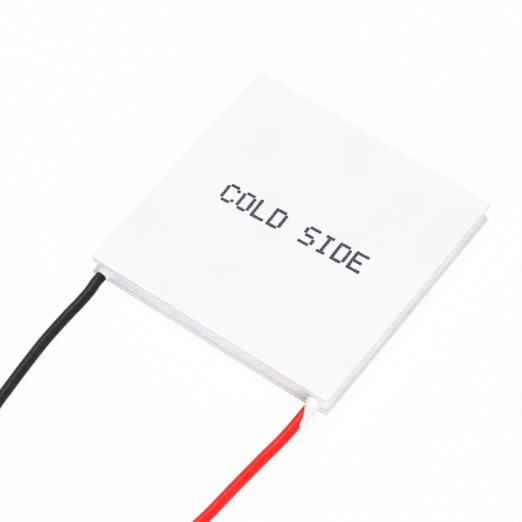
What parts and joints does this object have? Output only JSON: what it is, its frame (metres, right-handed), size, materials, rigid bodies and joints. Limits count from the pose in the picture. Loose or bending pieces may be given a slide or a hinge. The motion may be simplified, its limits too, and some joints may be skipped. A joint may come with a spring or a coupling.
{
  "type": "thermoelectric cooling module",
  "caption": "Flat square thermoelectric cooler: two ceramic plates, a field of semiconductor pellets joined in series by copper tabs, a silicone edge seal and two insulated leads.",
  "frame": {"origin": "centre of the hot side's outer face", "axes": "+Z from the hot side up to the cold side, +X from the black lead to the red lead, and the leads leave towards -Y"},
  "size_m": [0.0602, 0.0956, 0.0038],
  "materials": {
    "alumina": "white fired alumina, satin, unglazed",
    "silicone": "white silicone sealant, soft satin",
    "copper": "plain copper sheet",
    "solder": "bright solder",
    "n_type_alloy": "sawn semiconductor alloy, metallic grey",
    "p_type_alloy": "sawn semiconductor alloy, metallic grey",
    "black_insulation": "matte extruded insulation",
    "red_insulation": "satin extruded insulation",
    "tinned_copper": "tinned copper strands"
  },
  "bodies": {
    "root": {"hot_side_plate": "alumina", "cold_side_plate": "alumina", "hot_side_tabs": "copper", "cold_side_tabs": "copper", "negative_terminal_tab": "copper", "positive_terminal_tab": "copper", "hot_side_solder": "solder", "cold_side_solder": "solder", "n_type_pellets": "n_type_alloy", "p_type_pellets": "p_type_alloy", "edge_seal": "silicone", "black_lead_seal": "silicone", "black_lead_solder": "solder", "black_lead_core": "tinned_copper", "black_lead": "black_insulation", "black_lead_coil": "black_insulation", "black_lead_tail": "black_insulation", "black_lead_tip": "tinned_copper", "red_lead_seal": "silicone", "red_lead_solder": "solder", "red_lead_core": "tinned_copper", "red_lead": "red_insulation", "red_lead_coil": "red_insulation", "red_lead_tail": "red_insulation", "red_lead_tip": "tinned_copper"}
  },
  "joints": []
}
